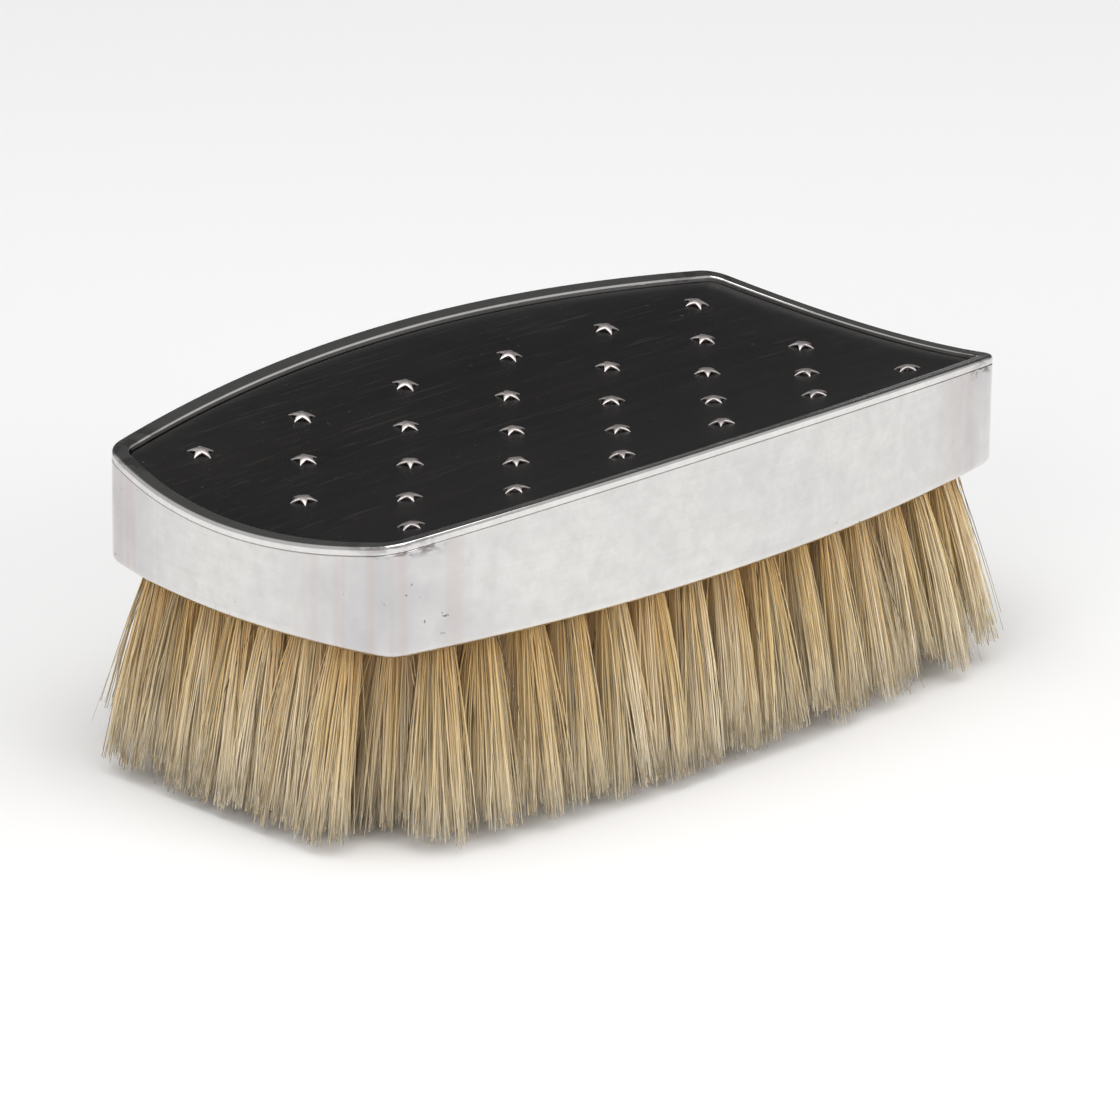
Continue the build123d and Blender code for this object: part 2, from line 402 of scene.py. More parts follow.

# %% [markdown]
# ## Silver
# Silver is almost a mirror, and a mirror shows the room. Its look comes from a bright floor, soft lamps and a
# dim side of the room, which the last steps set up. The material adds what the hand has left: a very fine
# haze, specks of tarnish that gather near the corners and the lower edge, and faint mottling. Where the band
# turns a corner the cloth never quite reaches, so grey clouds, pinkish streaks and a dark stain in the seam
# stay there. The lowest edge is painted a bright cream: a painted reflection of the floor and the bristles
# below it.

# %% Silver materials
TARNISH = (0.12, 0.10, 0.10, 1.0)
GREY_CLOUD = (0.56, 0.55, 0.56, 1.0)
PINK_STREAK = (0.60, 0.50, 0.48, 1.0)
# painted reflection: a bright cream for the band's lowest edge, standing in for the floor and bristles
# mirrored there
PAINTED_EDGE_REFLECTION = (0.93, 0.915, 0.88, 1.0)
SEAM_DEPTH = 1.2 * MM
STAIN_HEIGHT = 1.3 * MM
WORN_REACH = 15 * MM
TURN_REACH = CORNER + 6 * MM
STAIN_REACH = CORNER + 2.5 * MM


def near_corners(tree, place, reach):
    """A mask that is 1 on the four corners of the plan and fades out over a reach."""
    parts = tree.nodes.new("ShaderNodeSeparateXYZ")
    tree.links.new(place, parts.inputs[0])
    off_x = maths(tree, "SUBTRACT", maths(tree, "ABSOLUTE", parts.outputs["X"]), abs(corner.x))
    off_y = maths(tree, "SUBTRACT", maths(tree, "ABSOLUTE", parts.outputs["Y"]), abs(corner.y))
    square = maths(tree, "ADD", maths(tree, "MULTIPLY", off_x, off_x), maths(tree, "MULTIPLY", off_y, off_y))
    return between(tree, maths(tree, "SQRT", square), 0.25 * reach, reach, 1.0, 0.0)


def near_level(tree, place, level, reach):
    """A mask that is 1 at one height and fades out over a reach above it."""
    parts = tree.nodes.new("ShaderNodeSeparateXYZ")
    tree.links.new(place, parts.inputs[0])
    return between(tree, parts.outputs["Z"], level, level + reach, 1.0, 0.0)


def near_seam(tree, place):
    """A mask that grows towards the seam under the rim, at the height the seam has at the corners."""
    parts = tree.nodes.new("ShaderNodeSeparateXYZ")
    tree.links.new(place, parts.inputs[0])
    seam_level = back_height(abs(corner.x), abs(corner.y) + CORNER, SEAM_DEPTH)
    return between(tree, parts.outputs["Z"], seam_level - STAIN_HEIGHT, seam_level - 0.1 * MM)


def silver(name, colour, haze, specks, clouds, waves):
    """Old polished silver: a colour that wears unevenly, a haze, tarnish where hands don't rub, and a painted
    reflection on the mount's lowest edge.
    """
    material, tree, shader, place = new_material(name, Metallic=1.0)
    handled = use_group(tree, surface_group, place, Scratches=0.35, Waves=waves, Specks=1.0, Clouds=1.0)
    corners = near_corners(tree, place, WORN_REACH)
    low_edge = near_level(tree, place, MOUNT_BOTTOM, 3 * MM)
    worn = maths(tree, "MAXIMUM", corners, maths(tree, "MULTIPLY", low_edge, 0.7))
    speck_amount = maths(tree, "ADD", maths(tree, "MULTIPLY", worn, specks), 0.1 * specks)
    speck_mask = maths(tree, "MULTIPLY", handled.outputs["Speck Mask"], speck_amount, True)
    cloud_amount = maths(tree, "ADD", maths(tree, "MULTIPLY", corners, 0.9 * clouds), 0.3 * clouds)
    cloud_mask = maths(tree, "MULTIPLY", handled.outputs["Cloud Mask"], cloud_amount, True)
    streaks = between(tree, noise(tree, stretched(tree, place, (420, 420, 14)), 1.0, 2.0), 0.45, 0.68)
    streak_mask = maths(tree, "MULTIPLY", maths(tree, "MULTIPLY", streaks, corners), 0.7 * clouds, True)
    turn = near_corners(tree, place, TURN_REACH)
    turn_mask = between(tree, noise(tree, stretched(tree, place, (190, 190, 60)), 1.0, 3.0), 0.40, 0.66)
    turn_mask = maths(tree, "MULTIPLY", maths(tree, "MULTIPLY", turn_mask, turn), 0.8 * clouds, True)
    stain = maths(tree, "MULTIPLY", near_corners(tree, place, STAIN_REACH), 2.5, True)
    stain = maths(tree, "MULTIPLY", stain, near_seam(tree, place))
    stain_noise = between(tree, noise(tree, stretched(tree, place, (420, 420, 900)), 1.0, 2.0), 0.46, 0.56)
    stain_mask = maths(tree, "MULTIPLY", maths(tree, "MULTIPLY", stain_noise, stain), 0.95 * clouds, True)
    # painted reflection: the lowest 1.3 mm of the band is blended towards the bright cream of the mirrored
    # floor and bristles
    edge_reflection_mask = near_level(tree, place, MOUNT_BOTTOM, 1.3 * MM)
    brushed = noise(tree, stretched(tree, place, (70, 70, 2600)), 1.0, 3.0)
    brushed = between(tree, brushed, 0.3, 0.7, 0.0, 0.22)
    mottled = between(tree, noise(tree, place, 420.0, 4.0, 0.7), 0.35, 0.7, 0.0, 0.60)
    warm = tuple(0.80 * value for value in colour[:3]) + (1,)
    base = blend_colours(tree, maths(tree, "ADD", brushed, mottled), colour, warm)
    base = blend_colours(tree, maths(tree, "MULTIPLY", edge_reflection_mask, 0.8), base, PAINTED_EDGE_REFLECTION)
    base = blend_colours(tree, cloud_mask, base, GREY_CLOUD)
    base = blend_colours(tree, turn_mask, base, GREY_CLOUD)
    base = blend_colours(tree, streak_mask, base, PINK_STREAK)
    base = blend_colours(tree, stain_mask, base, TARNISH)
    base = blend_colours(tree, speck_mask, base, TARNISH)
    tree.links.new(base, shader.inputs["Base Color"])
    rough = maths(tree, "ADD", maths(tree, "MULTIPLY", cloud_mask, 0.2), haze)
    rough = maths(tree, "ADD", rough, maths(tree, "MULTIPLY", handled.outputs["Scratch Mask"], 0.08))
    rough = maths(tree, "ADD", rough, maths(tree, "MULTIPLY", speck_mask, 0.4))
    tree.links.new(rough, shader.inputs["Roughness"])
    tree.links.new(handled.outputs["Normal"], shader.inputs["Normal"])
    return material


CLEAN_SILVER = (0.79, 0.778, 0.758, 1.0)
RIM_SILVER = (0.86, 0.847, 0.827, 1.0)
STAR_SILVER = (0.82, 0.755, 0.73, 1.0)
band_silver = silver("band_silver", CLEAN_SILVER, haze=0.11, specks=1.3, clouds=1.0, waves=0.35)
rim_silver = silver("rim_silver", RIM_SILVER, haze=0.10, specks=0.8, clouds=0.4, waves=0.1)
star_silver = silver("star_silver", STAR_SILVER, haze=0.42, specks=0.3, clouds=0.3, waves=0.0)
print("silver materials", [m.name for m in (band_silver, rim_silver, star_silver)])

# %% [markdown]
# ## The side band
# The band is sheet silver with its lower edge turned under the bristle board. A plain extrusion would give a
# knife edge below, so the section turns round a full radius there. Extra loops stand close beside each round
# edge: they keep the flat wall's normals flat, which matters on a mirror.

# %% Side band
WALL = 0.8 * MM
LIP_WIDTH = 1.6 * MM
LIP_ROUND = 1.0 * MM
LIP_THICKNESS = LIP_TOP - MOUNT_BOTTOM
RIM_HEIGHT = SEAM_DEPTH
HOLD = 0.12 * MM
SEAM = 0.09 * MM

band_section = [
    (LIP_WIDTH, up(LIP_THICKNESS), 1.0),
    (LIP_WIDTH, up(HOLD), 1.0),
    (LIP_WIDTH - HOLD, up(0), 1.0),
    (LIP_ROUND + HOLD, up(0), 1.0),
]
band_section += rounding(LIP_ROUND, up, LIP_ROUND, 90, 0, LIP_ROUND)
band_section += [
    (0, up(LIP_ROUND + HOLD), 1.0),
    (0, deep(RIM_HEIGHT + 3 * SEAM), 1.0),
    (0, deep(RIM_HEIGHT + SEAM), 1.0),
    (SEAM, deep(RIM_HEIGHT), 1.0),
    (WALL, deep(RIM_HEIGHT), 1.0),
    (WALL, up(LIP_THICKNESS), 1.0),
]
side_band = ring_piece("silver_side_band", band_section)
hand_over(side_band, band_silver, "silver", "side_band")

# %% [markdown]
# ## The rim moulding
# The rim is a separate strip soldered on the band. Its outer edge is round and shows as one bright line, and a
# fine seam shows below it. The section is carried round the plan in the same way, but all its levels follow
# the saddle.

# %% Rim moulding
RIM_WIDTH = 2.2 * MM
RIM_ROUND = 0.55 * MM
RIM_INNER_ROUND = 0.25 * MM

rim_section = [
    (SEAM, deep(RIM_HEIGHT), 1.0),
    (0, deep(RIM_HEIGHT - SEAM), 1.0),
    (0, deep(RIM_ROUND + SEAM), 1.0),
]
rim_section += rounding(RIM_ROUND, deep, RIM_ROUND, 0, 90, RIM_ROUND, 9)
rim_section += [
    (RIM_ROUND + HOLD, deep(0), 1.0),
    (RIM_WIDTH - RIM_INNER_ROUND - HOLD, deep(0), 1.0),
]
rim_section += rounding(RIM_WIDTH - RIM_INNER_ROUND, deep, RIM_INNER_ROUND, 90, 180, RIM_INNER_ROUND, 5)
rim_section += [
    (RIM_WIDTH, deep(RIM_INNER_ROUND + HOLD), 1.0),
    (RIM_WIDTH, deep(RIM_HEIGHT), 1.0),
]
rim = ring_piece("silver_rim_moulding", rim_section)
hand_over(rim, rim_silver, "silver", "rim_moulding")

# %% [markdown]
# ## The ebony panel
# The panel lies a little below the rim. It could be a subdivided plane cut to the plan, but then its edge
# would be ragged. Here its loops shrink towards the middle instead: the outer ones draw the rebate and the
# eased edge, and the inner ones lie on the saddle, so the outline stays exact and the surface smooth.

# %% Ebony panel
WOOD_INSET = 0.9 * MM
PANEL_GAP = 0.15 * MM
FIELD_INSET = RIM_WIDTH + PANEL_GAP
PANEL_SINK = 0.7 * MM
PANEL_BOTTOM = 3.7 * MM
PANEL_EASE = 0.2 * MM
FIELD_LOOPS = 18

panel_section = [(WOOD_INSET, deep(PANEL_BOTTOM), 1 - i / 6) for i in range(5, -1, -1)]
panel_section += [
    (WOOD_INSET, deep(RIM_HEIGHT + MM / 100), 1.0),
    (FIELD_INSET, deep(RIM_HEIGHT + MM / 100), 1.0),
]
panel_section += rounding(FIELD_INSET + PANEL_EASE, deep, PANEL_EASE, 0, 90, PANEL_SINK + PANEL_EASE, 4)
for i in range(1, FIELD_LOOPS + 1):
    panel_section.append((FIELD_INSET + PANEL_EASE, deep(PANEL_SINK), 1 - i / (FIELD_LOOPS + 1)))
panel = ring_piece("ebony_back_panel", panel_section, closed=False)

# %% [markdown]
# ## Ebony
# Polished ebony is black with a soft shine, and close up it shows grain that runs along the brush, a few brown
# streaks, and dust and scratches. The grain is a noise stretched along X. The brown is kept low, because ebony
# that is too brown reads as plastic.

# %% Ebony material
def grain_group():
    """Long wood grain: a mask of streaks and a mask of pores."""
    inputs = {"Place": "vector", "Length": 18.0, "Fineness": 900.0}
    outputs = {"Streaks": "NodeSocketFloat", "Pores": "NodeSocketFloat"}
    tree, start, end = new_group("wood_grain", inputs, outputs)
    scale = tree.nodes.new("ShaderNodeCombineXYZ")
    tree.links.new(start.outputs["Length"], scale.inputs["X"])
    tree.links.new(start.outputs["Fineness"], scale.inputs["Y"])
    tree.links.new(start.outputs["Fineness"], scale.inputs["Z"])
    spread = add_node(tree, "ShaderNodeVectorMath", operation="MULTIPLY")
    tree.links.new(start.outputs["Place"], spread.inputs[0])
    tree.links.new(scale.outputs[0], spread.inputs[1])
    streaks = noise(tree, spread.outputs[0], 0.35, 3.0)
    pores = noise(tree, spread.outputs[0], 2.4, 2.0)
    tree.links.new(between(tree, streaks, 0.35, 0.75), end.inputs["Streaks"])
    tree.links.new(between(tree, pores, 0.6, 0.72), end.inputs["Pores"])
    return tree


wood_grain = grain_group()
EBONY_BLACK = (0.0052, 0.0050, 0.0053, 1)
EBONY_BROWN = (0.0095, 0.0080, 0.0074, 1)


def ebony():
    """Nearly black wood with a satin polish."""
    material, tree, shader, place = new_material("ebony", Specular_IOR_Level=0.42)
    handled = use_group(tree, surface_group, place, Scratches=0.9, Waves=0.08, Specks=0.5, Clouds=1.0)
    grain = use_group(tree, wood_grain, place, Length=26.0, Fineness=1300.0)
    colour = blend_colours(tree, grain.outputs["Streaks"], EBONY_BLACK, EBONY_BROWN)
    colour = blend_colours(tree, grain.outputs["Pores"], colour, (0.019, 0.0165, 0.015, 1))
    colour = blend_colours(tree, handled.outputs["Speck Mask"], colour, (0.10, 0.09, 0.075, 1))
    tree.links.new(colour, shader.inputs["Base Color"])
    rough = maths(tree, "ADD", maths(tree, "MULTIPLY", handled.outputs["Cloud Mask"], 0.12), 0.38)
    rough = maths(tree, "ADD", rough, maths(tree, "MULTIPLY", grain.outputs["Pores"], 0.15))
    tree.links.new(rough, shader.inputs["Roughness"])
    tree.links.new(handled.outputs["Normal"], shader.inputs["Normal"])
    return material


ebony_wood = ebony()
hand_over(panel, ebony_wood, "ebony", "back_panel")

# %% [markdown]
# ## A star
# Each star is stamped from thin silver: a small dome whose five arms curve down until their tips touch the
# wood, so that a dark gap shows under its edge. A flat star with a bevel would look printed on. It is modelled
# once: a circle of ten points is pulled to a star, poked and subdivided, raised to a dome with a faint ridge
# along each arm, and extruded downwards for its thickness. A small peg under it goes into the wood.

# %% Model one star
STAR_RADIUS = 1.95 * MM
STAR_WAIST = 0.80 * MM
STAR_POINTS = 5
STAR_RISE = 0.66 * MM
STAR_RIDGE = 0.07 * MM
STAR_SHEET = 0.24 * MM
STAR_TIP_SINK = 0.04 * MM
PEG_RADIUS = 0.45 * MM
PEG_DEPTH = 0.4 * MM


def dome_height(place):
    """Height of the stamped dome, highest in the middle and along the line of each arm."""
    away = place.length
    arm_turn = pi / STAR_POINTS
    facing = atan2(place.y, place.x) % (2 * arm_turn)
    off_ridge = away * sin(min(facing, 2 * arm_turn - facing)) / STAR_WAIST
    dome = (STAR_RISE + STAR_TIP_SINK) * (1 - (away / STAR_RADIUS) ** 2)
    return dome - STAR_TIP_SINK - STAR_RIDGE * off_ridge


def star_master():
    """One star at the origin, which faces up Z."""
    start_clean()
    bpy.ops.mesh.primitive_circle_add(vertices=2 * STAR_POINTS, radius=STAR_RADIUS, fill_type="NGON")
    star = bpy.context.object
    star.name = "star_master"
    first_turn = atan2(star.data.vertices[0].co.y, star.data.vertices[0].co.x)
    for vertex in star.data.vertices:
        step = round((atan2(vertex.co.y, vertex.co.x) - first_turn) / (pi / STAR_POINTS))
        if step % 2:
            vertex.co *= STAR_WAIST / STAR_RADIUS
    star.data.transform(Matrix.Rotation(-first_turn, 4, "Z"))
    bpy.ops.object.mode_set(mode="EDIT")
    bpy.ops.mesh.select_all(action="SELECT")
    bpy.ops.mesh.poke()
    bpy.ops.mesh.subdivide(number_cuts=3)
    bpy.ops.object.mode_set(mode="OBJECT")
    for vertex in star.data.vertices:
        vertex.co.z = dome_height(vertex.co.xy)
    bpy.ops.object.mode_set(mode="EDIT")
    bpy.ops.mesh.extrude_region_move(TRANSFORM_OT_translate={"value": (0, 0, -STAR_SHEET)})
    bpy.ops.mesh.select_all(action="SELECT")
    bpy.ops.mesh.normals_make_consistent(inside=False)
    bpy.ops.object.mode_set(mode="OBJECT")
    bevel = star.modifiers.new("soft_edge", "BEVEL")
    bevel.width = 0.06 * MM
    bevel.segments = 2
    bevel.angle_limit = radians(55)
    bpy.ops.object.modifier_apply(modifier=bevel.name)
    bpy.ops.object.shade_smooth_by_angle(angle=radians(50))
    peg_top = STAR_RISE - 0.5 * STAR_SHEET
    bpy.ops.object.select_all(action="DESELECT")
    bpy.ops.mesh.primitive_cylinder_add(
        vertices=12, radius=PEG_RADIUS, depth=peg_top + PEG_DEPTH, location=(0, 0, (peg_top - PEG_DEPTH) / 2)
    )
    star.select_set(True)
    bpy.context.view_layer.objects.active = star
    bpy.ops.object.join()
    print("star", len(star.data.polygons), "faces")
    return star


star_shape = star_master()

# %% [markdown]
# ## Setting the stars
# The stars stand in five lines, every second line shifted by half a pitch. They were set by eye, so each is a
# little off its place and turned its own way. A line of stars is one piece, because they are the same fitting.

# %% Set the stars
STAR_LINES = 5
STAR_COLUMNS = 11
COLUMN_PITCH = 9.2 * MM
LINE_PITCH = 9.7 * MM
STAR_SCATTER = 0.3 * MM


def star_places(line):
    """Where the stars of one line stand, and the turn of each."""
    y = (line - (STAR_LINES - 1) / 2) * LINE_PITCH
    for column in range(line % 2, STAR_COLUMNS, 2):
        x = (column - (STAR_COLUMNS - 1) / 2) * COLUMN_PITCH
        drift = 2.4 * column + 1.7 * line
        turn = radians(31 * column + 17 * line)
        yield x + STAR_SCATTER * sin(drift), y + STAR_SCATTER * cos(1.6 * drift), turn


def set_star_line(line):
    """Copies of the star, each with its own mesh, joined as one line."""
    copies = []
    for x, y, turn in star_places(line):
        copy = star_shape.copy()
        copy.data = star_shape.data.copy()
        bpy.context.collection.objects.link(copy)
        facing = back_normal(x, y, PANEL_SINK).to_track_quat("Z", "Y").to_matrix().to_4x4()
        place = Matrix.Translation((x, y, back_height(x, y, PANEL_SINK)))
        copy.data.transform(place @ facing @ Matrix.Rotation(turn, 4, "Z"))
        copies.append(copy)
    start_clean()
    for copy in copies:
        copy.select_set(True)
    bpy.context.view_layer.objects.active = copies[0]
    bpy.ops.object.join()
    joined = bpy.context.object
    joined.name = f"silver_stars_{line + 1}"
    joined.data.name = joined.name
    return hand_over(joined, star_silver, "star_silver", f"star_row_{line + 1}")


for line in range(STAR_LINES):
    set_star_line(line)
bpy.data.objects.remove(star_shape)
print(STAR_LINES, "lines of stars set")

# %% [markdown]
# ## One bristle
# A hog bristle is a stiff hair about a fifth of a millimetre thick that narrows to a split tip. Blender's hair
# systems would do for a picture, but the tufts have to be real meshes. One bristle is modelled as a
# three-sided cone with a few cuts along it, and every hair of the brush is a bent copy of it.

# %% Model one bristle
BRISTLE_SIDES = 3
BRISTLE_CUTS = 3


def bristle_master():
    """A unit bristle along Z: radius 1 at its root, narrower at its tip. Returns its points and faces."""
    start_clean()
    bpy.ops.mesh.primitive_cone_add(
        vertices=BRISTLE_SIDES, radius1=1.0, radius2=0.5, depth=1.0, location=(0, 0, 0.5), end_fill_type="NGON"
    )
    bristle = bpy.context.object
    bpy.ops.object.transform_apply(location=True)
    bpy.ops.object.mode_set(mode="EDIT")
    for cut in range(1, BRISTLE_CUTS + 1):
        bpy.ops.mesh.select_all(action="SELECT")
        height = cut / (BRISTLE_CUTS + 1)
        bpy.ops.mesh.bisect(plane_co=(0, 0, height), plane_no=(0, 0, 1))
    bpy.ops.object.mode_set(mode="OBJECT")
    points = np.array([vertex.co for vertex in bristle.data.vertices])
    faces = [tuple(face.vertices) for face in bristle.data.polygons]
    bpy.data.objects.remove(bristle)
    print("bristle", len(points), "points", len(faces), "faces")
    return points, faces


bristle_points, bristle_faces = bristle_master()

# %% [markdown]
# ## A row of tufts
# Each tuft leaves its hole as a tight round bundle and opens towards its tip until it meets its neighbours.
# The hairs of a tuft gather into a few locks, some are short, and now and then one strays across the others.
# All of that is chance, so each row draws it from its own seeded generator. Every hair also carries how light
# it is and how far along it a point lies, which the material reads.

# %% Places of the tufts
TUFT_ROWS = 9
TUFT_COLUMNS = 17
CORNER_TUFTS_LEFT_OUT = 1
TUFT_RADIUS = 1.85 * MM
TUFT_INSET = 4.4 * MM
TIP_SPREAD = 1.033
TUFT_TOP = LIP_TOP + 1.5 * MM


def tuft_place(column, row):
    """Root centre of a tuft: a grid stretched to fill the bowed plan inside a constant margin."""
    along = 2 * column / (TUFT_COLUMNS - 1) - 1
    across = 2 * row / (TUFT_ROWS - 1) - 1

    def side_y(x):
        return sqrt((SIDE_ARC - TUFT_INSET) ** 2 - x**2) - SIDE_ARC + HALF_WIDTH

    def end_x(y):
        return sqrt((END_ARC - TUFT_INSET) ** 2 - y**2) - END_ARC + HALF_LENGTH

    x = along * end_x(across * side_y(end_x(0)))
    return np.array([x, across * side_y(x)])


def row_columns(row):
    """The columns that have a tuft: the outermost rows leave out their corners."""
    left_out = CORNER_TUFTS_LEFT_OUT if row in (0, TUFT_ROWS - 1) else 0
    return range(left_out, TUFT_COLUMNS - left_out)


print("first tuft of the first row at", np.round(tuft_place(row_columns(0)[0], 0) / MM, 2), "mm")

# %% Grow the hairs of one tuft
OUTER_HAIRS = 300
INNER_HAIRS = 230
LOCKS = 7
TIP_RADIUS = 4.2 * MM
TIP_LOOSENESS = 1.0 * MM
EDGE_LEAN = 3.4 * MM
LOCK_PULL = 0.5
EARLY_SPREAD = 0.05
HAIR_RADIUS = 0.10 * MM
SHORTEST = 5.0 * MM
FURTHEST_OUT = 2.2 * MM
STRAY_SHARE = 0.05
GREY_SHARE = 0.12


def disc(rng, count, radius):
    """Random places on a disc."""
    angle = rng.uniform(0, 2 * pi, count)
    away = radius * np.sqrt(rng.uniform(0, 1, count))
    return np.stack([away * np.cos(angle), away * np.sin(angle)], axis=1)


def edge_lean(column, row):
    """How far the tips of a tuft lean out: nothing in the middle, and the full lean at the edges."""
    shares = np.array([2 * column / (TUFT_COLUMNS - 1) - 1, 2 * row / (TUFT_ROWS - 1) - 1])
    return EDGE_LEAN * np.sign(shares) * np.abs(shares) ** 4


def grow_tuft(rng, column, row):
    """Root, middle and tip points, radius and tone of every hair of one tuft."""
    root = tuft_place(column, row)
    at_edge = column in (0, 1, TUFT_COLUMNS - 2, TUFT_COLUMNS - 1) or row in (0, TUFT_ROWS - 1)
    count = OUTER_HAIRS if at_edge else INNER_HAIRS
    start = disc(rng, count, TUFT_RADIUS)
    lean = rng.normal(0, 0.3 * MM, 2) + edge_lean(column, row)
    spread = start * (TIP_RADIUS / TUFT_RADIUS) + rng.normal(0, TIP_LOOSENESS, (count, 2))
    lock_centres = disc(rng, LOCKS, 0.95 * TIP_RADIUS)
    nearest = np.argmin(((spread[:, None] - lock_centres[None]) ** 2).sum(2), axis=1)
    pull = LOCK_PULL * rng.uniform(0.2, 1.3, (count, 1))
    spread += (lock_centres[nearest] - spread) * pull
    strays = rng.uniform(0, 1, count) < STRAY_SHARE
    spread[strays] += rng.normal(0, 2.4 * MM, (strays.sum(), 2))
    lock_height = rng.gamma(1.5, 0.8 * MM, LOCKS)[nearest]
    reach_out = 0.22 * np.hypot(*lean)
    tip_height = reach_out + 0.8 * lock_height + rng.gamma(1.2, 0.90 * MM, count)
    tip_height = np.clip(tip_height, 0.05 * MM, SHORTEST)
    roots = np.column_stack([root + start, np.full(count, TUFT_TOP)])
    tips = np.column_stack([root * TIP_SPREAD + lean + spread, tip_height])
    furthest = np.array([HALF_LENGTH, HALF_WIDTH]) + FURTHEST_OUT
    tips[:, :2] = np.clip(tips[:, :2], -furthest, furthest)
    middles = roots + (tips - roots) * 0.5
    middles[:, :2] += rng.normal(0, 0.30 * MM, (count, 2)) + EARLY_SPREAD * (tips - roots)[:, :2]
    radii = HAIR_RADIUS * rng.uniform(0.7, 1.3, count)
    lock_hue = rng.uniform(0.45, 0.92, LOCKS)[nearest]
    tone = np.clip(lock_hue + rng.normal(0, 0.13, count), 0.3, 1)
    lock_tone = rng.uniform(0, 1, LOCKS)[nearest] < 0.2
    grey = rng.uniform(0, 1, count) < np.where(lock_tone, 3 * GREY_SHARE, 0.6 * GREY_SHARE)
    tone[grey] = rng.uniform(0.1, 0.34, grey.sum())
    tone[strays & (rng.uniform(0, 1, count) < 0.5)] = 0.05
    return roots, middles, tips, radii, tone


# %% Turn hairs into one mesh
def hair_mesh(name, roots, middles, tips, radii, tone):
    """Bend a copy of the bristle along each hair, all in one mesh with its attributes."""
    count = len(roots)
    along = bristle_points[:, 2]
    weights = np.stack([(1 - along) ** 2, 2 * along * (1 - along), along**2])
    control = 2 * middles - 0.5 * (roots + tips)
    line = weights[0][None, :, None] * roots[:, None]
    line = line + weights[1][None, :, None] * control[:, None] + weights[2][None, :, None] * tips[:, None]
    spin = (np.arange(count) * 2.4)[:, None]
    local_x = bristle_points[None, :, 0] * np.cos(spin) - bristle_points[None, :, 1] * np.sin(spin)
    local_y = bristle_points[None, :, 0] * np.sin(spin) + bristle_points[None, :, 1] * np.cos(spin)
    line[:, :, 0] += local_x * radii[:, None]
    line[:, :, 1] += local_y * radii[:, None]
    points = line.reshape(-1, 3)
    corners = len(bristle_points)
    faces = [tuple(np.add(face, corners * hair)) for hair in range(count) for face in bristle_faces]
    mesh = bpy.data.meshes.new(name)
    mesh.from_pydata(points.tolist(), [], faces)
    values = {"tone": np.repeat(tone, corners), "reach": np.tile(along, count)}
    for key, value in values.items():
        layer = mesh.attributes.new(key, "FLOAT", "POINT")
        layer.data.foreach_set("value", value.astype(np.float32))
    mesh.shade_smooth()
    piece = bpy.data.objects.new(name, mesh)
    bpy.context.collection.objects.link(piece)
    return piece


# %% [markdown]
# ## Bristle colour
# Undyed bristle runs from pale straw to grey and dark brown, hair by hair, and the ends are paler and greyer.
# Deep between the tufts the light has passed through so many hairs that it turns golden and dim, and that is
# painted shade here: the tone picks the hair's own colour, and the reach multiplies it by a dim golden tint at
# the root and moves it to bleached at the tip, where some hairs end dark. A very weak painted glow near the
# roots stands in for light that many pale hairs pass on to each other.

# %% Bristle material
# painted shade: a dim golden tint that the hair colour is multiplied by near the root, for light deep inside
# the tuft
ROOT_PAINTED_SHADE = (0.72, 0.57, 0.35, 1)
BLEACHED_TIP = (0.94, 0.81, 0.60, 1)
DARK_END = (0.28, 0.23, 0.17, 1)
ROOT_GLOW = 0.10
TIP_GLOW = 0.02


def bristle_material():
    """Natural bristle, coloured hair by hair."""
    material, tree, shader, place = new_material("natural_bristle", Roughness=0.6, Specular_IOR_Level=0.25)
    shader.inputs["Subsurface Weight"].default_value = 0.35
    shader.inputs["Subsurface Radius"].default_value = (1.0, 0.72, 0.42)
    shader.inputs["Subsurface Scale"].default_value = 0.4 * MM
    tone = add_node(tree, "ShaderNodeAttribute", attribute_name="tone").outputs["Fac"]
    reach = add_node(tree, "ShaderNodeAttribute", attribute_name="reach").outputs["Fac"]
    ramp = tree.nodes.new("ShaderNodeValToRGB")
    stops = [
        (0.0, (0.055, 0.038, 0.022, 1)),
        (0.12, (0.20, 0.15, 0.095, 1)),
        (0.32, (0.42, 0.355, 0.24, 1)),
        (0.48, (0.64, 0.455, 0.22, 1)),
        (0.66, (0.75, 0.56, 0.30, 1)),
        (0.82, (0.72, 0.56, 0.37, 1)),
        (1.0, (0.84, 0.70, 0.47, 1)),
    ]
    ramp.color_ramp.elements.remove(ramp.color_ramp.elements[0])
    ramp.color_ramp.elements[0].position = stops[0][0]
    ramp.color_ramp.elements[0].color = stops[0][1]
    for position, colour in stops[1:]:
        ramp.color_ramp.elements.new(position).color = colour
    tree.links.new(tone, ramp.inputs["Fac"])
    # painted shade: towards the root the colour is multiplied by the dim golden tint, fading out by halfway
    # along the hair
    root_shade = add_node(tree, "ShaderNodeMix", data_type="RGBA", blend_type="MULTIPLY")
    root_shade.inputs[7].default_value = ROOT_PAINTED_SHADE
    tree.links.new(between(tree, reach, 0.02, 0.50, 0.85, 0.0), root_shade.inputs[0])
    tree.links.new(ramp.outputs["Color"], root_shade.inputs[6])
    bleach = maths(tree, "MULTIPLY", between(tree, reach, 0.55, 1.0), 0.6)
    colour = blend_colours(tree, bleach, root_shade.outputs[2], BLEACHED_TIP)
    end_share = maths(tree, "FRACT", maths(tree, "MULTIPLY", tone, 57.0))
    dark_end = maths(tree, "MULTIPLY", between(tree, reach, 0.90, 0.97), between(tree, end_share, 0.38, 0.48))
    colour = blend_colours(tree, maths(tree, "MULTIPLY", dark_end, 0.8), colour, DARK_END)
    tree.links.new(colour, shader.inputs["Base Color"])
    # painted glow: the hairs emit their own colour, 0.10 at the root falling to 0.02, for light passed on
    # between them
    tree.links.new(colour, shader.inputs["Emission Color"])
    tree.links.new(between(tree, reach, 0.0, 0.75, ROOT_GLOW, TIP_GLOW), shader.inputs["Emission Strength"])
    return material


bristle_finish = bristle_material()

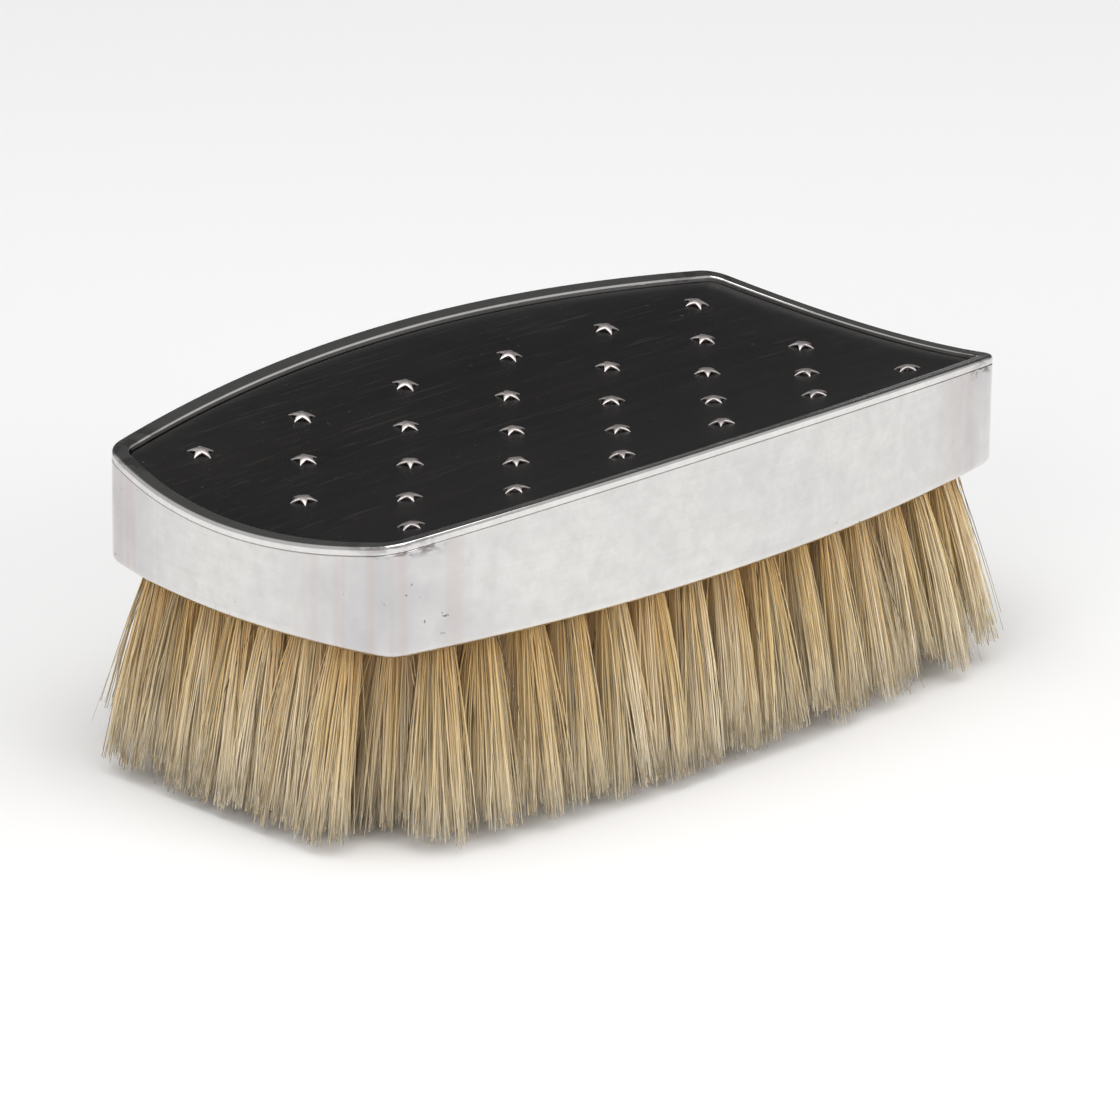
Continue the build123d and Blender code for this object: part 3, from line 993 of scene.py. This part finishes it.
# %% Grow the rows
FIRST_SEED = 400
total_hairs = 0
for row in range(TUFT_ROWS):
    rng = np.random.default_rng(FIRST_SEED + row)
    tufts = [grow_tuft(rng, column, row) for column in row_columns(row)]
    parts = [np.concatenate(part) for part in zip(*tufts)]
    total_hairs += len(parts[0])
    bristles = hair_mesh(f"bristle_row_{row + 1}", *parts)
    hand_over(bristles, bristle_finish, "bristle", f"tuft_row_{row + 1}")
print(total_hairs, "hairs in", TUFT_ROWS, "rows")

# %% [markdown]
# ## Wood and brass inside
# The drilled board shows between the tufts from below, and the core, the drawing wire and the pins are hidden.
# Their CAD shapes are right as they are, so they only get materials: plain close-grained wood and dull brass.

# %% Wood and brass materials
def brush_wood():
    """Pale brown close-grained wood, unpolished."""
    material, tree, shader, place = new_material("brush_wood", Specular_IOR_Level=0.3)
    grain = use_group(tree, wood_grain, place, Length=30.0, Fineness=1100.0)
    colour = blend_colours(tree, grain.outputs["Streaks"], (0.60, 0.40, 0.21, 1), (0.42, 0.26, 0.13, 1))
    colour = blend_colours(tree, grain.outputs["Pores"], colour, (0.24, 0.14, 0.07, 1))
    tree.links.new(colour, shader.inputs["Base Color"])
    rough = maths(tree, "ADD", maths(tree, "MULTIPLY", grain.outputs["Pores"], 0.2), 0.55)
    tree.links.new(rough, shader.inputs["Roughness"])
    return material


def dull_brass():
    """Brass wire and pins that were never polished."""
    material, tree, shader, place = new_material("dull_brass", Metallic=1.0)
    handled = use_group(tree, surface_group, place, Scratches=0.4, Waves=0.0, Specks=0.6, Clouds=1.0)
    colour = blend_colours(tree, handled.outputs["Cloud Mask"], (0.62, 0.43, 0.17, 1), (0.36, 0.23, 0.09, 1))
    tree.links.new(colour, shader.inputs["Base Color"])
    rough = maths(tree, "ADD", maths(tree, "MULTIPLY", handled.outputs["Cloud Mask"], 0.25), 0.3)
    tree.links.new(rough, shader.inputs["Roughness"])
    tree.links.new(handled.outputs["Normal"], shader.inputs["Normal"])
    return material


inner_finishes = {"brush_wood": brush_wood(), "brass": dull_brass()}
inner_nodes = {"core_block": "brush_wood", "bristle_board": "brush_wood", "board_pins": "brass"}
for row in range(TUFT_ROWS):
    inner_nodes[f"draw_wire_{row + 1}"] = "brass"
for node, finish in inner_nodes.items():
    cad_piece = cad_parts[node]
    cad_piece.data.materials.clear()
    cad_piece.data.materials.append(inner_finishes[finish])
print(len(inner_nodes), "inner nodes finished")

# %% [markdown]
# ## Floor and light
# Polished silver is lit by what it mirrors. Each wall of the band looks down at the floor, so a bright floor
# makes it white. The back looks up and away from the camera, and it stays black only if the room is dim there.
# So the world is a pale room with one dim side beyond the brush, and three wide soft lamps do the rest. The
# two front lamps only light the bristles: mirrored in the rim, they would break its fine lines.

# %% Floor
FLOOR_RADIUS = 0.62
middle = (cad_box[0] + cad_box[1]) / 2


def pale_floor():
    """A plain round table top just under the bristle tips, which isn't part of the object."""
    start_clean()
    bpy.ops.mesh.primitive_circle_add(
        vertices=128, radius=FLOOR_RADIUS, fill_type="NGON", location=(0, 0, -0.02 * MM)
    )
    plane = bpy.context.object
    plane.name = "pale_floor"
    material, tree, shader, place = new_material("pale_floor", Roughness=0.9, Specular_IOR_Level=0.1)
    shader.inputs["Base Color"].default_value = (0.86, 0.86, 0.86, 1)
    plane.data.materials.append(material)


pale_floor()

# %% Lamps
def soft_lamp(name, location, size, power, mirrored):
    """An area lamp that faces the brush. It shows in the silver only if it is to be mirrored there."""
    lamp = bpy.data.lights.new(name, "AREA")
    lamp.shape = "RECTANGLE"
    lamp.size, lamp.size_y = size
    lamp.energy = power
    holder = bpy.data.objects.new(name, lamp)
    bpy.context.collection.objects.link(holder)
    holder.location = location
    holder.rotation_euler = (middle - Vector(location)).to_track_quat("-Z", "Y").to_euler()
    holder.visible_glossy = mirrored
    return holder


soft_lamp("overhead", (-0.12, -0.12, 1.4), (1.3, 1.3), power=13, mirrored=True)
soft_lamp("left_front", (-1.2, -0.4, 0.45), (0.9, 0.8), power=6, mirrored=False)
soft_lamp("right_front", (0.3, -1.2, 0.45), (0.9, 0.8), power=6, mirrored=False)

# %% A pale room with one dim side
ROOM_LIGHT = 0.55
DIM_LIGHT = 0.08
BACKDROP_LIGHT = 0.90
DIM_SIDE = Vector((0.70, 0.68, 0.40)).normalized()

world = bpy.data.worlds.new("studio")
bpy.context.scene.world = world
world.use_nodes = True
room = world.node_tree
outward = room.nodes.new("ShaderNodeTexCoord").outputs["Generated"]
facing_dim = add_node(room, "ShaderNodeVectorMath", {1: DIM_SIDE}, operation="DOT_PRODUCT")
room.links.new(outward, facing_dim.inputs[0])
strength = between(room, facing_dim.outputs["Value"], 0.55, 0.85, ROOM_LIGHT, DIM_LIGHT)
seen = room.nodes.new("ShaderNodeLightPath").outputs["Is Camera Ray"]
backdrop = maths(room, "MULTIPLY", seen, BACKDROP_LIGHT)
rest = maths(room, "MULTIPLY", maths(room, "SUBTRACT", 1.0, seen), strength)
background = room.nodes["Background"]
background.inputs["Color"].default_value = (1, 1, 1, 1)
room.links.new(maths(room, "ADD", backdrop, rest), background.inputs["Strength"])

# %% [markdown]
# ## Camera
# The brush is seen from one corner and a little above, through a long lens that keeps its lines almost
# parallel. The camera's place follows from the two angles of the view and one distance.

# %% Camera
VIEW_AZIMUTH = radians(-45.7)
VIEW_ELEVATION = radians(19.6)
VIEW_ROLL = radians(0.8)
VIEW_DISTANCE = 0.92
VIEW_LENS = 226

direction = Vector((
    sin(VIEW_AZIMUTH) * cos(VIEW_ELEVATION),
    -cos(VIEW_AZIMUTH) * cos(VIEW_ELEVATION),
    sin(VIEW_ELEVATION),
))
camera = bpy.data.objects.new("camera", bpy.data.cameras.new("camera"))
bpy.context.collection.objects.link(camera)
aim = middle - Vector((0, 0, 3 * MM))
camera.location = aim + direction * VIEW_DISTANCE
turned = direction.to_track_quat("Z", "Y").to_matrix() @ Matrix.Rotation(VIEW_ROLL, 3, "Z")
camera.rotation_euler = turned.to_euler()
camera.data.lens = VIEW_LENS
camera.data.sensor_width = 36
bpy.context.scene.camera = camera
bpy.context.scene.view_settings.view_transform = "Standard"
print("camera at", tuple(round(v, 3) for v in camera.location))
